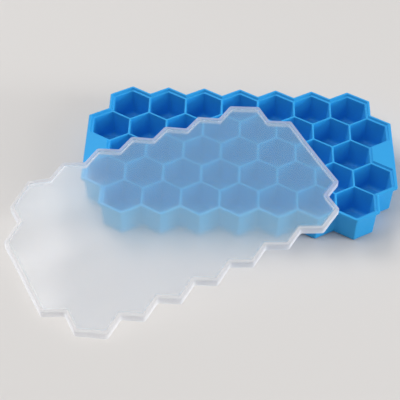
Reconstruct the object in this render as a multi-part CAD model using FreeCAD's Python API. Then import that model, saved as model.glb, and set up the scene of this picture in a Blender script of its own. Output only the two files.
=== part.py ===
import FreeCAD, Part
import math
import os
from FreeCAD import Vector

# Silicone ice cube tray with 37 honeycomb cells, and its lid lying across it.
# Millimetres, +Z up. The origin is at the centre of the tray's underside.

# Honeycomb
PITCH = 24.0              # centre to centre of neighbouring cells, along a row
ROW_CELLS = (7, 8, 7, 8, 7)   # cells in each row, from the back to the front

# Tray, heights
RIDGE_HEIGHT = 20.4       # top of the walls between the cells
RIM_RISE = 1.5            # how far the rim stands above those walls
RIM_THICKNESS = 2.4       # the rim's plate, top to underside
FLOOR_THICKNESS = 1.5     # under each cell

# Tray, walls
RIDGE_WIDTH = 1.2         # top of the wall between two cells
CELL_DRAFT = 3.0          # degrees that a cell narrows towards its floor
CELL_FLOOR_EDGE = 2.0     # radius round the floor of a cell
WALL_OUT_BASE = 0.1       # outer face beyond the cells' hexagons, at the table
WALL_OUT_TOP = 0.8        # and under the rim
BASE_EDGE = 2.0           # radius round the underside

# Tray, rim
STEP_FOOT = 0.6           # foot of the step up to the rim, beyond the hexagons
STEP_HEAD = 1.1           # and its head
RIM_SIDE = 2.5            # rim's edge beyond the hexagons, on the long sides
RIM_END = 3.0             # and at the short ends
RIM_EDGE = 0.5            # bevel round its top

# Lid
LID_CLEARANCE = 0.4       # between the rim and the lid's lip when it is fitted
LIP_WIDTH = 1.8
LID_HEIGHT = 4.4          # top of the sheet to the foot of the lip
SHEET_THICKNESS = 1.0
LID_CORNER = 2.0          # radius of its corners in plan

# How the lid lies: turned, and so many cells and rows off the tray's centre
LID_TURN = 28.44          # degrees
LID_CELLS_LEFT = 1.684
LID_ROWS_FORWARD = 2.411
# Height of the lip's foot as a share of the rim's height, where the lid is
# near the viewer, in its middle and at its far side. Rows run along the lid,
# from the end that lies on the table to the end that lies on the tray.
DRAPE = (
    (-0.02, 0.05, -0.06),
    (0.155, 0.78, 1.05),
    (0.74, 0.95, 1.02),
    (1.10, 0.95, 1.19),
)
DRAPE_MARGIN = 3.0        # how far the draped surface runs past the lid's edge
DRAPE_STEPS = (16, 8)     # spans along and across, for the surface's points

ROW_STEP = PITCH * math.sqrt(3) / 2
CELL_RADIUS = PITCH / math.sqrt(3)
RIM_HEIGHT = RIDGE_HEIGHT + RIM_RISE
ABOVE = 5.0               # how far a cutting body stands out of what it cuts


def cell_centres():
    """Centres of the cells, row by row, each row centred on the tray."""
    middle_row = (len(ROW_CELLS) - 1) / 2
    centres = []
    for row, count in enumerate(ROW_CELLS):
        y = (middle_row - row) * ROW_STEP
        centres += [Vector((i - (count - 1) / 2) * PITCH, y, 0) for i in range(count)]
    return centres


def hexagon(centre, radius):
    """Corners of a hexagon with one of them pointing to the back."""
    angles = [math.radians(90 + 60 * k) for k in range(6)]
    return [centre + Vector(radius * math.cos(a), radius * math.sin(a), 0) for a in angles]


def honeycomb_corners(filled):
    """Corners of the outline of all the cells, anticlockwise.

    Filled, the notch at each short end is closed by a straight line.
    """
    faces = [Part.Face(wire_at(hexagon(c, CELL_RADIUS), 0)) for c in cell_centres()]
    if filled:
        end = max(ROW_CELLS) * PITCH / 2
        for side in (-1, 1):
            notch = [Vector(side * end, -side * CELL_RADIUS, 0),
                     Vector(side * end, side * CELL_RADIUS, 0),
                     Vector(side * (end - PITCH / 2), side * CELL_RADIUS / 2, 0),
                     Vector(side * (end - PITCH / 2), -side * CELL_RADIUS / 2, 0)]
            faces.append(Part.Face(wire_at(notch, 0)))
    whole = faces[0].multiFuse(faces[1:]).removeSplitter()
    corners = [v.Point for v in whole.Faces[0].OuterWire.OrderedVertexes]
    turn = sum(a.x * b.y - b.x * a.y for a, b in zip(corners, corners[1:] + corners[:1]))
    return corners if turn > 0 else corners[::-1]


def moved_out(corners, side, end):
    """The outline with its edges moved outwards: by end at the short ends, by side elsewhere."""
    reach = max(c.x for c in corners)
    lines = []
    for a, b in zip(corners, corners[1:] + corners[:1]):
        along = (b - a).normalize()
        normal = Vector(along.y, -along.x, 0)
        at_end = abs(normal.y) < 0.01 and abs(a.x) > reach - 0.01
        lines.append((a + normal * (end if at_end else side), along))
    moved = []
    for (p, d), (q, e) in zip(lines[-1:] + lines[:-1], lines):
        turn = d.x * e.y - d.y * e.x
        t = ((q.x - p.x) * e.y - (q.y - p.y) * e.x) / turn
        moved.append(p + d * t)
    return moved


def wire_at(corners, z):
    points = [Vector(c.x, c.y, z) for c in corners]
    return Part.makePolygon(points + points[:1])


def upright_edges(solid):
    """Edges that join two levels of a body."""
    height = solid.BoundBox.ZLength
    return [e for e in solid.Edges
            if abs(e.Vertexes[0].Point.z - e.Vertexes[-1].Point.z) > height / 2]


def edges_at(solid, z):
    return [e for e in solid.Edges
            if max(abs(v.Point.z - z) for v in e.Vertexes) < 1e-4]


def prism(corners, bottom, top):
    return Part.Face(wire_at(corners, bottom)).extrude(Vector(0, 0, top - bottom))


def tapered(low, z_low, high, z_high):
    """A body with flat sloping sides between two like outlines."""
    faces = [Part.Face(wire_at(low[::-1], z_low)), Part.Face(wire_at(high, z_high))]
    low = wire_at(low, z_low).Vertexes
    high = wire_at(high, z_high).Vertexes
    for a, b, c, d in zip(low, low[1:] + low[:1], high[1:] + high[:1], high):
        corners = [v.Point for v in (a, b, c, d, a)]
        faces.append(Part.Face(Part.makePolygon(corners)))
    return Part.Solid(Part.makeShell(faces))


def cell_hollow():
    """The space in one cell, about the origin, narrower at its floor."""
    half_top = (PITCH - RIDGE_WIDTH) / 2
    slope = math.tan(math.radians(CELL_DRAFT))
    top = RIDGE_HEIGHT + ABOVE

    def corners_at(z):
        return hexagon(Vector(), (half_top + (z - RIDGE_HEIGHT) * slope) * 2 / math.sqrt(3))

    solid = tapered(corners_at(FLOOR_THICKNESS), FLOOR_THICKNESS, corners_at(top), top)
    return solid.makeFillet(CELL_FLOOR_EDGE, edges_at(solid, FLOOR_THICKNESS))


def make_tray():
    cells = honeycomb_corners(False)
    closed = honeycomb_corners(True)

    underside = RIM_HEIGHT - RIM_THICKNESS
    body = tapered(moved_out(cells, WALL_OUT_BASE, WALL_OUT_BASE), 0,
                   moved_out(cells, WALL_OUT_TOP, WALL_OUT_TOP), underside + RIM_THICKNESS / 2)
    body = body.makeFillet(BASE_EDGE, edges_at(body, 0))

    rim = prism(moved_out(closed, RIM_SIDE, RIM_END), underside, RIM_HEIGHT)
    rim = rim.makeChamfer(RIM_EDGE, edges_at(rim, RIM_HEIGHT))

    rise = (STEP_HEAD - STEP_FOOT) / RIM_RISE
    head = STEP_HEAD + rise * ABOVE
    recess = tapered(moved_out(cells, STEP_FOOT, STEP_FOOT), RIDGE_HEIGHT,
                     moved_out(cells, head, head), RIM_HEIGHT + ABOVE)

    hollow = cell_hollow()
    hollows = [hollow.translated(c) for c in cell_centres()]
    return body.fuse(rim).cut(recess).cut(Part.makeCompound(hollows)).removeSplitter()


def lid_corners(inwards):
    """Outline of the lid laid flat and square, in from its edge by the given width."""
    side = RIM_SIDE + LID_CLEARANCE + LIP_WIDTH - inwards
    end = RIM_END + LID_CLEARANCE + LIP_WIDTH - inwards
    return moved_out(honeycomb_corners(True), side, end)


def through(stations, values, t):
    """The lowest polynomial in t that takes each value at its station."""
    total = 0
    for i, value in enumerate(values):
        share = 1
        for j, other in enumerate(stations):
            if j != i:
                share *= (t - other) / (stations[i] - other)
        total += share * value
    return total


def evenly(count):
    return [-1 + 2 * i / (count - 1) for i in range(count)]


def foot_height(u, v):
    """Height of the lip's foot over the table; u runs along the lid, v across, -1 to 1."""
    across = [through(evenly(len(row)), row, v) for row in DRAPE]
    return RIM_HEIGHT * through(evenly(len(DRAPE)), across, u)


def shortening(half_length, height):
    """How much shorter a drooping strip of sheet looks from above."""
    points = [(half_length * t, height(t)) for t in evenly(101)]
    strip = sum(math.dist(p, q) for p, q in zip(points, points[1:]))
    return 2 * half_length / strip


def make_lid():
    edge = lid_corners(0)
    half_x = max(c.x for c in edge) + DRAPE_MARGIN
    half_y = max(c.y for c in edge) + DRAPE_MARGIN

    points = [[Vector(u * half_x, v * half_y, foot_height(u, v))
               for v in evenly(DRAPE_STEPS[1] + 1)] for u in evenly(DRAPE_STEPS[0] + 1)]
    foot = Part.BSplineSurface()
    foot.interpolate(points)
    foot = foot.toShape()

    shrink_x = shortening(half_x, lambda t: foot_height(t, 0))
    shrink_y = shortening(half_y, lambda t: foot_height(0, t))
    top = max(p.z for row in points for p in row) + LID_HEIGHT

    def seen_from_above(inwards):
        return [Vector(c.x * shrink_x, c.y * shrink_y, 0) for c in lid_corners(inwards)]

    outer = prism(seen_from_above(0), -ABOVE, top + ABOVE)
    outer = outer.makeFillet(LID_CORNER, upright_edges(outer))
    inner = prism(seen_from_above(LIP_WIDTH), -ABOVE, top + ABOVE)
    block = foot.extrude(Vector(0, 0, LID_HEIGHT)).common(outer)
    below = foot.translated(Vector(0, 0, -ABOVE))
    room = below.extrude(Vector(0, 0, LID_HEIGHT - SHEET_THICKNESS + ABOVE)).common(inner)
    lid = block.cut(room)
    lid.rotate(Vector(), Vector(0, 0, 1), LID_TURN)
    lid.translate(Vector(-LID_CELLS_LEFT * PITCH, -LID_ROWS_FORWARD * ROW_STEP, 0))
    return lid


os.makedirs("parts", exist_ok=True)
for name, shape in (("tray", make_tray()), ("lid", make_lid())):
    solid = shape.Solids[0]
    print(name, "solids", len(shape.Solids), "valid", solid.isValid(),
          "volume", round(solid.Volume), "box", solid.BoundBox)
    solid.exportStep(f"parts/{name}.step")
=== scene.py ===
"""Silicone ice cube tray with 37 honeycomb cells, and its milky lid lying askew across it.

Shapes are worked out in millimetres in the frame's axes and put into meshes in metres.
Both mouldings are stacks of closed rings: a section is written down once, as distances out
or in and heights, and carried round an outline of the honeycomb.
"""

import math

import bmesh
import bpy
import numpy as np
from mathutils import Matrix, Vector


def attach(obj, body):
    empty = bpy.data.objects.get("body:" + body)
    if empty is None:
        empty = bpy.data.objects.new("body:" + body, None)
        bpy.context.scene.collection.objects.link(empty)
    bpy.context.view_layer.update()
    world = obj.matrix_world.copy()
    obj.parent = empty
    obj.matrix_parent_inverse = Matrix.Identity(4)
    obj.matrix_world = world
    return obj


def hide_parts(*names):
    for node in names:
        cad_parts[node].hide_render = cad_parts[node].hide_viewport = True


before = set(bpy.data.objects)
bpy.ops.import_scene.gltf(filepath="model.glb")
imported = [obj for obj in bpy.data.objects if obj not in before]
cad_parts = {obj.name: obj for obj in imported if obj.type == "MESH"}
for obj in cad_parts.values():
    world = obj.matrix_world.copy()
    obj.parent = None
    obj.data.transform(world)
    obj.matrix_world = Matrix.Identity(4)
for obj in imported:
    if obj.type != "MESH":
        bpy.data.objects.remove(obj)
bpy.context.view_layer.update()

MM = 0.001

# Honeycomb
PITCH = 24.0
ROW_CELLS = (7, 8, 7, 8, 7)
ROW_STEP = PITCH * math.sqrt(3) / 2
CELL_RADIUS = PITCH / math.sqrt(3)
FAR_DIP = 3.5             # heights of the far edge's corners from the middle, in cell radii
FAR_PEAK = 4.0
END_STEPS = (2.5, 2.0, 1.0, 0.5)   # heights of a short end's corners, in cell radii

# Tray
RIDGE_HEIGHT = 20.4
RIM_HEIGHT = 21.9
RIM_THICKNESS = 2.4
FLOOR_THICKNESS = 1.5
RIDGE_WIDTH = 1.2
RIDGE_ROUND = 0.35        # radius of the edges along a ridge
CELL_DRAFT = math.radians(3)
CELL_FLOOR_EDGE = 2.0
CELL_CORNER = 0.5         # how far the rounding of a cell's upright corner reaches
CELL_CORNER_GROWTH = 0.1  # how much further it reaches for each unit of depth
CELL_CORNER_SHARE = 0.3   # of the hexagon's half width, the most that it reaches
WALL_OUT_BASE = 0.1
WALL_OUT_TOP = 0.8
WALL_CORNER = 0.5
BASE_EDGE = 2.0
STEP_FOOT = 0.6
STEP_HEAD = 1.1
RIM_SIDE = 2.5
RIM_END = 3.0
RIM_CORNER = 0.5
RIM_ROUND = 0.5           # radius of the rim's upper edge
RIM_UNDER_ROUND = 0.3     # and of its lower edge

# Rings of the tray's sections
RIDGE_TOP_RING = 0.12     # on a ridge's flat top, out from its middle
CELL_WALL_RINGS = (0.8, 3.0, 6.4, 11.4)   # down a cell's wall, below the ridges
CELL_BEND = np.radians(np.linspace(18, 90, 5))   # round into a cell's floor
CELL_FLOOR_RINGS = (2.8, 6.0)   # on a cell's floor, in from its wall
CELL_MIDDLE = 0.02        # half width of the last ring, at the floor's middle
BEND_GUARD = 0.5          # on a wall just above the bend into a floor
RIM_TOP_GUARD = 0.25      # on the rim's top beside its rounded edge
RIM_GUARD = 0.2           # on its side and underside beside the rounded edges
# At the step's foot and head: out from it, up from the ridges or the rim, and corner reach
FOOT_RINGS = ((-0.6, 0.0, 0.0), (-0.3, 0.0, 0.1), (-0.12, 0.0, 0.25),
              (0.0, 0.1, 0.3), (0.1, 0.35, 0.3))
HEAD_RINGS = ((-0.08, -0.4, 0.4), (0.0, -0.16, 0.4), (0.07, -0.04, 0.4),
              (0.2, 0.0, 0.4), (0.35, 0.0, 0.4))
# Where the outer wall meets the rim: out from the wall, and down from the rim
UNDER_RIM_RINGS = ((0.25, 0.0), (0.07, 0.07))
WALL_RINGS = (0.3, 0.8, 5.5, 11.5)   # down the outer wall, below the rim
UNDERSIDE_RINGS = (0.97, 0.7, 0.35, 0.001)   # in to the middle, as shares of the outline

# Lid
LID_SIDE = 4.7            # its edge beyond the cells' hexagons, on the long sides
LID_END = 5.2             # and at the short ends
LIP_WIDTH = 1.8
LID_HEIGHT = 4.4
SHEET_THICKNESS = 1.0
LID_CORNER = 1.2          # how far the rounding of its outer corners reaches
LIP_INNER_CORNER = 1.0    # of the lip's inner corners
SHEET_CORNER = 0.8        # and of the rings on the sheet
LID_EDGE = 0.9            # radius of its upper edge
LIP_FOOT_EDGE = 0.4       # radius of the lip's foot
LID_TURN = math.radians(28.44)
LID_PLACE = (-1.684 * PITCH, -2.411 * ROW_STEP)
DRAPE = np.array((
    (-0.02, 0.05, -0.06),
    (0.155, 0.78, 1.05),
    (0.74, 0.95, 1.02),
    (1.10, 0.95, 1.19),
)) * RIM_HEIGHT           # height of the lip's foot, along the lid and across it
DRAPE_MARGIN = 3.0
STRIP_POINTS = 101        # along a strip of the sheet, to measure its length
RIPPLE = 0.45             # half the height of the waves in the lid's free end
RIPPLE_START = -0.2       # where they begin, along the lid
RIPPLE_FADE = 0.45
RIPPLE_LONG = (11.0, 4.0, 0.6)   # radians along, across and at the middle
RIPPLE_CROSS = (-5.0, 7.0)       # radians along and across

# Rings of the lid's section
SHEET_INSET = LIP_WIDTH + 1.6    # where the sheet begins, in from the lid's edge
SHEET_RINGS = 25          # from there to the middle
SHEET_CROWDING = 0.9
SHEET_MIDDLE = 0.001      # share of the outline that the last ring keeps
LIP_TOP_RINGS = ((0.6, 0.25), (0.0, 0.9))   # in from the lip, and measure of lip
LID_EDGE_GUARD = 0.4
LIP_SIDE_RINGS = (2.2, 0.6)      # up the lip's outer face
# On the lip's foot, from its rounding to the inner face: in from that face, height, reach
LIP_FOOT_RINGS = ((-0.4, 0.0, LID_CORNER), (-0.1, 0.12, LIP_INNER_CORNER),
                  (0.0, 0.5, LIP_INNER_CORNER))
# At the lip's root: in from its inner face, down from the sheet, and measure of lip
LIP_ROOT_RINGS = ((0.0, 0.9, 1.0), (0.15, 0.35, 0.9), (0.6, 0.0, 0.25))

CORNER_STEPS = 4          # spans round a corner of an outline
EDGE_STEPS = 3            # spans along a straight edge between two corners
SMALL_ARC_STEPS = 3       # spans round a quarter circle of a small edge
ARC_STEPS = 4
WIDE_ARC_STEPS = 5        # and of a wide one
STRAIGHT = 1e-6           # below this, two directions count as the same
MERGE = 1e-6              # metres within which mesh points are one point
DEGENERATE = 1e-7         # metres below which an edge has no length

# Materials
SILICONE_IOR = 1.41
NOISE_DETAIL = 4
NOISE_MEAN = 0.5
TRAY_SKIN = {"Colour": (0.026, 0.355, 0.77, 1), "Mottle": 0.06, "Roughness": 0.58,
             "Unevenness": 0.08, "Scale": 90}
TRAY_BUMP = 0.0001
LID_SKIN = {"Colour": (1.0, 0.82, 0.72, 1), "Mottle": 0.03, "Roughness": 0.25,
            "Unevenness": 0.03, "Scale": 40}
LID_BUMP = 0.00002
LID_MILK = 0.27           # share of each face of the sheet that isn't clear
LID_THROUGH_COLOUR = (1.0, 0.94, 0.55, 1)
# Painted light: the blue of the thrown-back share stands in for the tray's blue light bounced up onto
# the lid; the lid's own back-scatter is white
LID_BACK_COLOUR_WITH_PAINTED_BOUNCE = (0.29, 0.63, 1.0, 1)
LID_BACK_SHARE = 0.71     # of the milk, what is thrown back
LID_RETURN = 0.2          # of the light that comes back up, what each face returns
LIP_MILK = 0.90
LIP_COLOUR = (0.85, 0.85, 0.87, 1)
LIP_BACK_SHARE = 0.25
WHITE = (1, 1, 1, 1)
FLOOR_COLOUR = (0.68, 0.66, 0.645, 1)
FLOOR_ROUGHNESS = 0.7
FLOOR_SPECULAR = 0.2

# Studio, in metres and watts
FLOOR_REACH = 6.0
SKY_STRENGTH = 0.28
MIDDLE = (-0.02, -0.03, 0)
# Place, size, power, and whether glossy surfaces mirror it
LAMPS = {
    "ceiling": ((0, 0, 2.6), 1.6, 9, True),
    "high_left": ((-1.3, -0.1, 2.2), 1.4, 14.7, True),
    "far_left": ((-1.2, 1.2, 1.9), 1.4, 26.8, True),
    "window": ((5.0, -0.8, 0.73), 1.25, 137, False),
    "near_right": ((0.9, -0.4, 0.5), 0.5, 2.8, False),
}
CAMERA_PLACE = (-0.016558, -0.550333, 0.562739)
CAMERA_ELEVATION = math.radians(46.94)
CAMERA_TURN = math.radians(0.84)
CAMERA_ROLL = math.radians(1.12)
SENSOR = 36.0
LENS = 108.32


# Outlines

def honeycomb_outline(filled):
    """Corners round all the cells, anticlockwise. The far edge is a zigzag with a peak at each
    cell, the ends step out at the rows of eight, and the near and left halves are the far and
    right halves turned half round. Filled, the notch's corners lie on a straight end."""
    half = ROW_CELLS[0]
    k = np.arange(half, -half - 1, -1)
    peak = np.where((k + half) % 2 == 1, FAR_PEAK, FAR_DIP)
    far = np.stack([k * PITCH / 2, peak * CELL_RADIUS], axis=1)
    out = max(ROW_CELLS) * PITCH / 2
    shoulder = out - PITCH / 2
    notch = out if filled else shoulder
    x = -np.array([shoulder, out, out, notch])
    upper = np.stack([x, np.array(END_STEPS) * CELL_RADIUS], axis=1)
    left = np.concatenate([upper, upper[::-1] * (1, -1)])
    return np.concatenate([far, left, -far, -left])


def hexagon(apothem):
    """Corners of a pointed-top hexagon: six points at 60 degrees, apothem over cos 30 out."""
    a = np.radians(90 + 60 * np.arange(6))
    return np.stack([np.cos(a), np.sin(a)], axis=1) * apothem / math.cos(math.pi / 6)


def edge_directions(corners):
    """From each corner to the next, one unit long."""
    ahead = np.roll(corners, -1, axis=0) - corners
    return ahead / np.linalg.norm(ahead, axis=1)[:, None]


def moved_out(corners, side, end=None):
    """The outline with each edge moved outwards along its normal: by end where it is an end
    edge of the whole outline, by side elsewhere. A corner goes where its two moved edges
    cross, and one on a straight run goes straight out."""
    ahead = edge_directions(corners)
    normal = np.stack([ahead[:, 1], -ahead[:, 0]], axis=1)
    by = np.full(len(corners), float(side))
    if end is not None:
        reach = np.abs(corners[:, 0]).max()
        upright = np.abs(normal[:, 1]) < STRAIGHT
        by[upright & (np.abs(corners[:, 0]) > reach - STRAIGHT)] = end
    before = np.roll(normal, 1, axis=0)
    by_before = np.roll(by, 1)
    turn = before[:, 0] * normal[:, 1] - before[:, 1] * normal[:, 0]
    no_turn = np.abs(turn) < STRAIGHT
    crossing = np.stack([by_before * normal[:, 1] - by * before[:, 1],
                         by * before[:, 0] - by_before * normal[:, 0]], axis=1)
    crossing /= np.where(no_turn, 1.0, turn)[:, None]
    return corners + np.where(no_turn[:, None], normal * by[:, None], crossing)


def rounded(corners, reach):
    """Points round a closed outline. Each corner is the parabola that leaves one edge reach
    before the corner and joins the next edge reach after it, and each edge between is cut
    into equal spans. Every outline with the same number of corners gets matching points."""
    ahead = edge_directions(corners)
    a = corners - np.roll(ahead, 1, axis=0) * reach
    b = corners + ahead * reach
    t = np.linspace(0, 1, CORNER_STEPS + 1)[None, :, None]
    arcs = (1 - t) ** 2 * a[:, None] + 2 * t * (1 - t) * corners[:, None] + t ** 2 * b[:, None]
    s = (np.arange(1, EDGE_STEPS) / EDGE_STEPS)[None, :, None]
    edges = b[:, None] * (1 - s) + np.roll(a, -1, axis=0)[:, None] * s
    return np.concatenate([arcs, edges], axis=1).reshape(-1, 2)


def quarter(centre, radius, start, steps):
    """Points of a quarter circle in a section, (out, up) pairs, from the angle start in
    degrees, turning clockwise."""
    a = np.radians(start - np.linspace(0, 90, steps + 1))
    return np.stack([centre[0] + radius * np.cos(a), centre[1] + radius * np.sin(a)], axis=1)


# Meshes

def stack_rings(rings):
    """Vertices and quads of a wall through rings of equal length, each n by 3."""
    length = len(rings[0])
    i, j = np.meshgrid(np.arange(len(rings) - 1), np.arange(length), indexing="ij")
    here = i * length
    above = here + length
    k = (j + 1) % length
    quads = np.stack([here + j, here + k, above + k, above + j], axis=-1)
    return np.concatenate(rings), quads.reshape(-1, 4)


def ring(points, z):
    return np.column_stack([points, np.broadcast_to(z, len(points))])


def make_piece(name, vertices, quads, attribute=None):
    """A smooth mesh of the given millimetre vertices, with doubled points merged. The
    attribute is a name and a value for each vertex."""
    mesh = bpy.data.meshes.new(name)
    mesh.from_pydata((vertices * MM).tolist(), [], quads.tolist())
    if attribute is not None:
        layer = mesh.attributes.new(attribute[0], "FLOAT", "POINT")
        layer.data.foreach_set("value", attribute[1].astype(np.float32))
    work = bmesh.new()
    work.from_mesh(mesh)
    bmesh.ops.remove_doubles(work, verts=work.verts, dist=MERGE)
    bmesh.ops.dissolve_degenerate(work, edges=work.edges, dist=DEGENERATE)
    bmesh.ops.recalc_face_normals(work, faces=work.faces)
    work.to_mesh(mesh)
    work.free()
    mesh.shade_smooth()
    piece = bpy.data.objects.new(name, mesh)
    bpy.context.scene.collection.objects.link(piece)
    return piece


# Tray

def cell_centres():
    """Row by row, each row centred on the tray."""
    rows = len(ROW_CELLS)
    return np.array([((i - (count - 1) / 2) * PITCH, ((rows - 1) / 2 - row) * ROW_STEP)
                     for row, count in enumerate(ROW_CELLS) for i in range(count)])


def cell_rings():
    """One cell from the middle of the ridges round it to the middle of its floor. Its section
    goes along half the ridge's top, round the ridge's edge, down the drafted wall and round
    into the floor; the section is carried round a hexagon whose corners round off with depth."""
    half = PITCH / 2
    face = RIDGE_WIDTH / 2
    lean = math.tan(CELL_DRAFT)
    bend_top = FLOOR_THICKNESS + CELL_FLOOR_EDGE
    foot = face + (RIDGE_HEIGHT - FLOOR_THICKNESS) * lean
    top = [(0, RIDGE_HEIGHT), (RIDGE_TOP_RING, RIDGE_HEIGHT)]
    centre = (face - RIDGE_ROUND, RIDGE_HEIGHT - RIDGE_ROUND)
    edge = quarter(centre, RIDGE_ROUND, 90, ARC_STEPS)
    wall_z = [RIDGE_HEIGHT - down for down in CELL_WALL_RINGS] + [bend_top + BEND_GUARD, bend_top]
    wall = [(face + (RIDGE_HEIGHT - z) * lean, z) for z in wall_z]
    bend = np.stack([foot + CELL_FLOOR_EDGE * (1 - np.cos(CELL_BEND)),
                     FLOOR_THICKNESS + CELL_FLOOR_EDGE * (1 - np.sin(CELL_BEND))], axis=1)
    floor = [(foot + inwards, FLOOR_THICKNESS) for inwards in CELL_FLOOR_RINGS]
    floor += [(half - CELL_MIDDLE, FLOOR_THICKNESS)]
    rings = []
    for d, z in np.concatenate([top, edge, wall, bend, floor]):
        reach = min(CELL_CORNER * d / face, CELL_CORNER + CELL_CORNER_GROWTH * (RIDGE_HEIGHT - z),
                    CELL_CORNER_SHARE * (half - d))
        rings.append(ring(rounded(hexagon(half - d), reach), z))
    return rings


def skirt_rings():
    """The tray outside its cells, from the cells' outline over the step, the rim and its
    edge, back under the rim, down the outer wall and in to the middle of the underside.
    Inner rings follow the notches of the honeycomb, and rings of the rim run straight past."""
    open_line = honeycomb_outline(False)
    closed_line = honeycomb_outline(True)
    underside = RIM_HEIGHT - RIM_THICKNESS

    def wall_ring(out, z, reach=WALL_CORNER):
        return ring(rounded(moved_out(open_line, out), reach), z)

    def wall_out(z):
        return WALL_OUT_BASE + (WALL_OUT_TOP - WALL_OUT_BASE) * z / underside

    def rim_ring(out, z):
        return ring(rounded(moved_out(closed_line, RIM_SIDE + out, RIM_END + out), RIM_CORNER), z)

    def rim_arc(radius, z, start, steps):
        return [rim_ring(out, up) for out, up in quarter((-radius, z), radius, start, steps)]

    rings = [wall_ring(STEP_FOOT + out, RIDGE_HEIGHT + up, reach) for out, up, reach in FOOT_RINGS]
    rings += [wall_ring(STEP_HEAD + out, RIM_HEIGHT + up, reach) for out, up, reach in HEAD_RINGS]
    rings += [rim_ring(-RIM_ROUND - RIM_TOP_GUARD, RIM_HEIGHT)]
    rings += rim_arc(RIM_ROUND, RIM_HEIGHT - RIM_ROUND, 90, ARC_STEPS)
    rings += [rim_ring(0, RIM_HEIGHT - RIM_ROUND - RIM_GUARD),
              rim_ring(0, underside + RIM_UNDER_ROUND + RIM_GUARD)]
    rings += rim_arc(RIM_UNDER_ROUND, underside + RIM_UNDER_ROUND, 0, SMALL_ARC_STEPS)
    rings += [rim_ring(-RIM_UNDER_ROUND - RIM_GUARD, underside)]
    rings += [wall_ring(WALL_OUT_TOP + out, underside - down) for out, down in UNDER_RIM_RINGS]
    wall_z = [underside - down for down in WALL_RINGS] + [BASE_EDGE + BEND_GUARD]
    rings += [wall_ring(wall_out(z), z) for z in wall_z]
    centre = (wall_out(BASE_EDGE) - BASE_EDGE, BASE_EDGE)
    base = quarter(centre, BASE_EDGE, 0, WIDE_ARC_STEPS)
    rings += [wall_ring(out, z) for out, z in base]
    inner = rings[-1]
    rings += [inner * (share, share, 0) for share in UNDERSIDE_RINGS]
    return rings


def make_tray():
    """All the cells and the skirt round them. One cell's rings are moved to every centre."""
    vertices, quads = stack_rings(cell_rings())
    centres = cell_centres()
    shifts = np.column_stack([centres, np.zeros(len(centres))])
    cells = (vertices[None] + shifts[:, None]).reshape(-1, 3)
    starts = len(vertices) * np.arange(len(centres))
    cell_quads = (quads[None] + starts[:, None, None]).reshape(-1, 4)
    skirt, skirt_quads = stack_rings(skirt_rings())
    return make_piece("tray_moulding", np.concatenate([cells, skirt]),
                      np.concatenate([cell_quads, skirt_quads + len(cells)]))


# Lid

def through(values, t):
    """The lowest polynomial in t through values at stations spaced evenly from -1 to 1."""
    stations = np.linspace(-1, 1, len(values))
    total = 0
    for i, value in enumerate(values):
        others = np.delete(stations, i)
        total = total + value * np.prod([(t - s) / (stations[i] - s) for s in others], axis=0)
    return total


def foot_height(u, v):
    """Height of the lip's foot over the table, u along the lid and v across, -1 to 1."""
    return through([through(row, v) for row in DRAPE], u)


def ripple(u, v):
    """Shallow waves of the lid's free end: one plus the product of a sine and a cosine that
    cross each other, so from 0 to twice RIPPLE high. A smooth step, 3 f f - 2 f f f, fades
    them out towards the part that lies on the tray."""
    along, across, start = RIPPLE_LONG
    cross_along, cross_across = RIPPLE_CROSS
    free = np.clip((RIPPLE_START - u) / RIPPLE_FADE, 0, 1)
    waves = 1 + np.sin(along * u + across * v + start) * np.cos(cross_along * u + cross_across * v)
    return RIPPLE * free ** 2 * (3 - 2 * free) * waves


def shortening(half, height):
    """How much shorter a drooping strip of sheet looks from above."""
    t = np.linspace(-1, 1, STRIP_POINTS)
    rise = np.diff(height(t))
    run = np.diff(t) * half
    return 2 * half / np.hypot(run, rise).sum()


def lid_rings():
    """The lid laid flat, from the middle of the sheet's top, over its edge, down the lip, round
    the foot, up inside and back under the sheet to its middle. Returns rings of points in plan,
    each with its height over the lip's foot and a measure of lip, 0 on the sheet."""
    line = honeycomb_outline(True)
    sheet = LID_HEIGHT - SHEET_THICKNESS

    def at(inwards, reach=LID_CORNER):
        return rounded(moved_out(line, LID_SIDE - inwards, LID_END - inwards), reach)

    def arc(radius, z, start, steps):
        return [(at(-out), up, 1.0) for out, up in quarter((-radius, z), radius, start, steps)]

    outer = at(0)
    inner = at(SHEET_INSET, SHEET_CORNER)
    shares = 1 - np.linspace(0, 1, SHEET_RINGS + 1)[1:] ** SHEET_CROWDING
    shares[-1] = SHEET_MIDDLE
    rings = [(inner * share, LID_HEIGHT, 0.0) for share in shares[::-1]]
    rings += [(inner, LID_HEIGHT, 0.0)]
    rings += [(at(LIP_WIDTH + inwards, LIP_INNER_CORNER), LID_HEIGHT, lip)
              for inwards, lip in LIP_TOP_RINGS]
    rings += [(at(LID_EDGE + LID_EDGE_GUARD), LID_HEIGHT, 1.0)]
    rings += arc(LID_EDGE, LID_HEIGHT - LID_EDGE, 90, WIDE_ARC_STEPS)
    rings += [(outer, z, 1.0) for z in LIP_SIDE_RINGS]
    rings += arc(LIP_FOOT_EDGE, LIP_FOOT_EDGE, 0, SMALL_ARC_STEPS)
    rings += [(at(LIP_WIDTH + inwards, reach), z, 1.0) for inwards, z, reach in LIP_FOOT_RINGS]
    rings += [(at(LIP_WIDTH + inwards, LIP_INNER_CORNER), sheet - down, lip)
              for inwards, down, lip in LIP_ROOT_RINGS]
    rings += [(inner, sheet, 0.0)]
    rings += [(inner * share, sheet, 0.0) for share in shares]
    return rings


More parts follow.
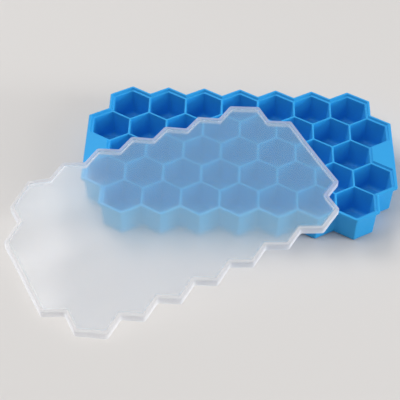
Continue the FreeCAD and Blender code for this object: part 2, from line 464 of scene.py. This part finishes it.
def make_lid():
    """The flat lid's rings, shrunk to how long the drooping sheet looks from above, raised by
    the foot's height, turned and set down across the tray."""
    edge = moved_out(honeycomb_outline(True), LID_SIDE, LID_END)
    half_x, half_y = np.abs(edge).max(axis=0) + DRAPE_MARGIN
    shrink = np.array([shortening(half_x, lambda t: foot_height(t, 0)),
                       shortening(half_y, lambda t: foot_height(0, t))])
    rings = []
    lip = []
    for points, height, lipness in lid_rings():
        seen = points * shrink
        u = seen[:, 0] / half_x
        v = seen[:, 1] / half_y
        rings.append(ring(seen, foot_height(u, v) + ripple(u, v) + height))
        lip.append(np.full(len(seen), lipness))
    vertices, quads = stack_rings(rings)
    c = math.cos(LID_TURN)
    s = math.sin(LID_TURN)
    x, y, z = vertices.T
    placed = np.column_stack([x * c - y * s + LID_PLACE[0], x * s + y * c + LID_PLACE[1], z])
    return make_piece("lid_moulding", placed, quads, ("lip", np.concatenate(lip)))


# Materials

def feed(links, value, socket):
    """Link an output to a socket, or set the socket to a constant."""
    if isinstance(value, bpy.types.NodeSocket):
        links.new(value, socket)
    else:
        socket.default_value = value


def silicone_skin():
    """A group for moulded silicone: soft mottling of its colour and roughness, and a fine
    uneven surface."""
    group = bpy.data.node_groups.new("silicone_skin", "ShaderNodeTree")
    colour = "NodeSocketColor"
    number = "NodeSocketFloat"
    for name, way, kind in (("Colour", "INPUT", colour), ("Mottle", "INPUT", number),
                            ("Roughness", "INPUT", number), ("Unevenness", "INPUT", number),
                            ("Scale", "INPUT", number), ("Colour", "OUTPUT", colour),
                            ("Roughness", "OUTPUT", number), ("Height", "OUTPUT", number)):
        group.interface.new_socket(name=name, in_out=way, socket_type=kind)
    nodes = group.nodes
    links = group.links
    start = nodes.new("NodeGroupInput")
    end = nodes.new("NodeGroupOutput")
    place = nodes.new("ShaderNodeTexCoord")
    noise = nodes.new("ShaderNodeTexNoise")
    noise.inputs["Detail"].default_value = NOISE_DETAIL
    links.new(place.outputs["Object"], noise.inputs["Vector"])
    links.new(start.outputs["Scale"], noise.inputs["Scale"])
    centred = nodes.new("ShaderNodeMath")
    centred.operation = "SUBTRACT"
    centred.inputs[1].default_value = NOISE_MEAN
    links.new(noise.outputs["Fac"], centred.inputs[0])

    def spread(amount, around):
        product = nodes.new("ShaderNodeMath")
        product.operation = "MULTIPLY_ADD"
        links.new(centred.outputs[0], product.inputs[0])
        links.new(start.outputs[amount], product.inputs[1])
        feed(links, around, product.inputs[2])
        return product.outputs[0]

    tint = nodes.new("ShaderNodeVectorMath")
    tint.operation = "SCALE"
    links.new(start.outputs["Colour"], tint.inputs[0])
    links.new(spread("Mottle", 1.0), tint.inputs["Scale"])
    links.new(tint.outputs[0], end.inputs["Colour"])
    links.new(spread("Unevenness", start.outputs["Roughness"]), end.inputs["Roughness"])
    links.new(noise.outputs["Fac"], end.inputs["Height"])
    return group


def new_material(name):
    material = bpy.data.materials.new(name)
    material.use_nodes = True
    nodes = material.node_tree.nodes
    nodes.clear()
    return material, nodes, material.node_tree.links, nodes.new("ShaderNodeOutputMaterial")


def skinned(nodes, links, group, values, bump_distance):
    """A Principled shader with the group's colour, roughness and uneven surface."""
    skin = nodes.new("ShaderNodeGroup")
    skin.node_tree = group
    for name, value in values.items():
        skin.inputs[name].default_value = value
    bump = nodes.new("ShaderNodeBump")
    bump.inputs["Distance"].default_value = bump_distance
    links.new(skin.outputs["Height"], bump.inputs["Height"])
    shader = nodes.new("ShaderNodeBsdfPrincipled")
    shader.inputs["IOR"].default_value = SILICONE_IOR
    links.new(skin.outputs["Colour"], shader.inputs["Base Color"])
    links.new(skin.outputs["Roughness"], shader.inputs["Roughness"])
    links.new(bump.outputs["Normal"], shader.inputs["Normal"])
    return shader


def tray_material(group):
    material, nodes, links, out = new_material("blue_silicone")
    shader = skinned(nodes, links, group, TRAY_SKIN, TRAY_BUMP)
    links.new(shader.outputs[0], out.inputs["Surface"])
    return material


def lid_material(group):
    """Milky silicone: part clear and bending light, part sending it on scattered and warm, part
    throwing it back in a blue that is painted light: the tray's blue light bounced up onto the
    white lid. The lip is thicker, so it is whiter and hardly clear. The room's light on what lies
    under the lid passes it straight, and a share of what comes back up returns from its underside."""
    material, nodes, links, out = new_material("milky_silicone")
    clear = skinned(nodes, links, group, LID_SKIN, LID_BUMP)
    clear.inputs["Transmission Weight"].default_value = 1.0

    def mixed(share, first, second):
        mix = nodes.new("ShaderNodeMixShader")
        feed(links, share, mix.inputs[0])
        links.new(first, mix.inputs[1])
        links.new(second, mix.inputs[2])
        return mix.outputs[0]

    def scatter(kind, colour):
        shader = nodes.new(kind)
        shader.inputs["Color"].default_value = colour
        return shader.outputs[0]

    def milk(through_colour, back_colour, back_share):
        return mixed(back_share, scatter("ShaderNodeBsdfTranslucent", through_colour),
                     scatter("ShaderNodeBsdfDiffuse", back_colour))

    lip = nodes.new("ShaderNodeAttribute")
    lip.attribute_name = "lip"
    lip_milk = nodes.new("ShaderNodeMapRange")
    lip_milk.inputs["To Max"].default_value = LIP_MILK
    links.new(lip.outputs["Fac"], lip_milk.inputs["Value"])
    # The sheet's thrown-back share is painted blue bounce light from the tray
    sheet_milk_with_painted_bounce = milk(LID_THROUGH_COLOUR, LID_BACK_COLOUR_WITH_PAINTED_BOUNCE, LID_BACK_SHARE)
    sheet = mixed(LID_MILK, clear.outputs[0], sheet_milk_with_painted_bounce)
    shader = mixed(lip_milk.outputs[0], sheet, milk(LIP_COLOUR, LIP_COLOUR, LIP_BACK_SHARE))
    pane = nodes.new("ShaderNodeBsdfTransparent").outputs[0]
    for_bounces = mixed(LID_RETURN, pane, scatter("ShaderNodeBsdfDiffuse", WHITE))
    path = nodes.new("ShaderNodeLightPath")
    shader = mixed(path.outputs["Is Diffuse Ray"], shader, for_bounces)
    shader = mixed(path.outputs["Is Shadow Ray"], shader, pane)
    links.new(shader, out.inputs["Surface"])
    return material


def floor_material():
    material, nodes, links, out = new_material("pale_table")
    shader = nodes.new("ShaderNodeBsdfPrincipled")
    shader.inputs["Base Color"].default_value = FLOOR_COLOUR
    shader.inputs["Roughness"].default_value = FLOOR_ROUGHNESS
    shader.inputs["Specular IOR Level"].default_value = FLOOR_SPECULAR
    links.new(shader.outputs[0], out.inputs["Surface"])
    return material


# Studio

def area_light(name, place, size, power, glare):
    """A round soft lamp aimed at the middle of the object. Without glare, glossy surfaces
    don't mirror it."""
    lamp = bpy.data.lights.new(name, "AREA")
    lamp.shape = "DISK"
    lamp.size = size
    lamp.energy = power
    light = bpy.data.objects.new(name, lamp)
    light.location = place
    light.rotation_euler = (Vector(MIDDLE) - Vector(place)).to_track_quat("-Z", "Y").to_euler()
    light.visible_glossy = glare
    light.visible_transmission = glare
    bpy.context.scene.collection.objects.link(light)


def make_floor():
    corners = [(x * FLOOR_REACH, y * FLOOR_REACH, 0) for x, y in ((-1, -1), (1, -1), (1, 1), (-1, 1))]
    mesh = bpy.data.meshes.new("table")
    mesh.from_pydata(corners, [], [(0, 1, 2, 3)])
    mesh.materials.append(floor_material())
    table = bpy.data.objects.new("table", mesh)
    bpy.context.scene.collection.objects.link(table)


def make_world():
    world = bpy.data.worlds.new("studio")
    world.use_nodes = True
    sky = world.node_tree.nodes["Background"]
    sky.inputs["Color"].default_value = WHITE
    sky.inputs["Strength"].default_value = SKY_STRENGTH
    bpy.context.scene.world = world


def make_camera():
    lens = bpy.data.cameras.new("camera")
    lens.sensor_width = SENSOR
    lens.lens = LENS
    camera = bpy.data.objects.new("camera", lens)
    tilt = Matrix.Rotation(math.pi / 2 - CAMERA_ELEVATION, 4, "X")
    turn = Matrix.Rotation(CAMERA_TURN, 4, "Z") @ tilt @ Matrix.Rotation(CAMERA_ROLL, 4, "Z")
    camera.matrix_world = Matrix.Translation(CAMERA_PLACE) @ turn
    bpy.context.scene.collection.objects.link(camera)
    bpy.context.scene.camera = camera


skin = silicone_skin()

tray = make_tray()
tray.data.materials.append(tray_material(skin))
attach(tray, "root")
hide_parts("tray")

lid = make_lid()
lid.data.materials.append(lid_material(skin))
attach(lid, "root")
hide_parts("lid")

make_floor()
make_world()
make_camera()
for lamp_name, settings in LAMPS.items():
    area_light(lamp_name, *settings)
bpy.context.scene.view_settings.view_transform = "Standard"
